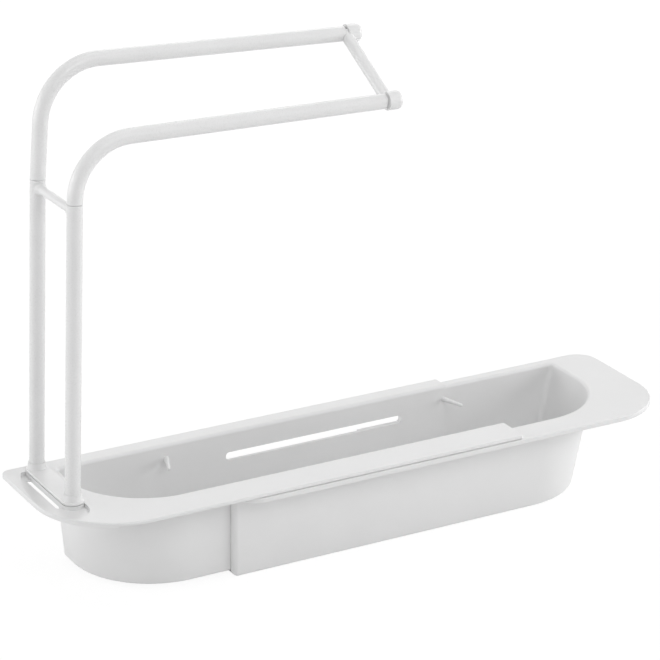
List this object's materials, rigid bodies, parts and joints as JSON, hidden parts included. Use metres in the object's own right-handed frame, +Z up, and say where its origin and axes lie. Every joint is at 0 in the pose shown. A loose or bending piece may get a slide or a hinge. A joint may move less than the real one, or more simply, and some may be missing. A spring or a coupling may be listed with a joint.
{
  "type": "kitchen sink caddy",
  "caption": "Telescopic sink caddy: nested open-ended trays that slide to span a sink, with a lift-off bent-tube towel rail standing on the inner tray's end shelf.",
  "frame": {"origin": "on the ground under the middle of the caddy's overall box, at the height of the outer tray's bottom", "axes": "+X along the trays towards the outer tray's closed end, +Y towards the straight back edge, +Z up"},
  "size_m": [0.387, 0.097, 0.2894],
  "materials": {
    "tray_plastic": "satin moulded polypropylene",
    "rail_plastic": "satin moulded plastic tube"
  },
  "bodies": {
    "left_tray": {"left_tray": "tray_plastic"},
    "right_tray": {"right_tray": "tray_plastic"},
    "towel_rail": {"towel_foot": "rail_plastic", "front_post": "rail_plastic", "back_post": "rail_plastic", "mid_rung": "rail_plastic", "front_arm": "rail_plastic", "back_arm": "rail_plastic", "end_bridge": "rail_plastic"}
  },
  "joints": [
    {"name": "tray_slide", "type": "slide", "parent": "left_tray", "child": "right_tray", "axis": [1, 0, 0], "range_m": [-0.03, 0.115]},
    {"name": "rail_lift", "type": "slide", "parent": "left_tray", "child": "towel_rail", "axis": [0, 0, 1], "range_m": [0, 0.06]}
  ]
}
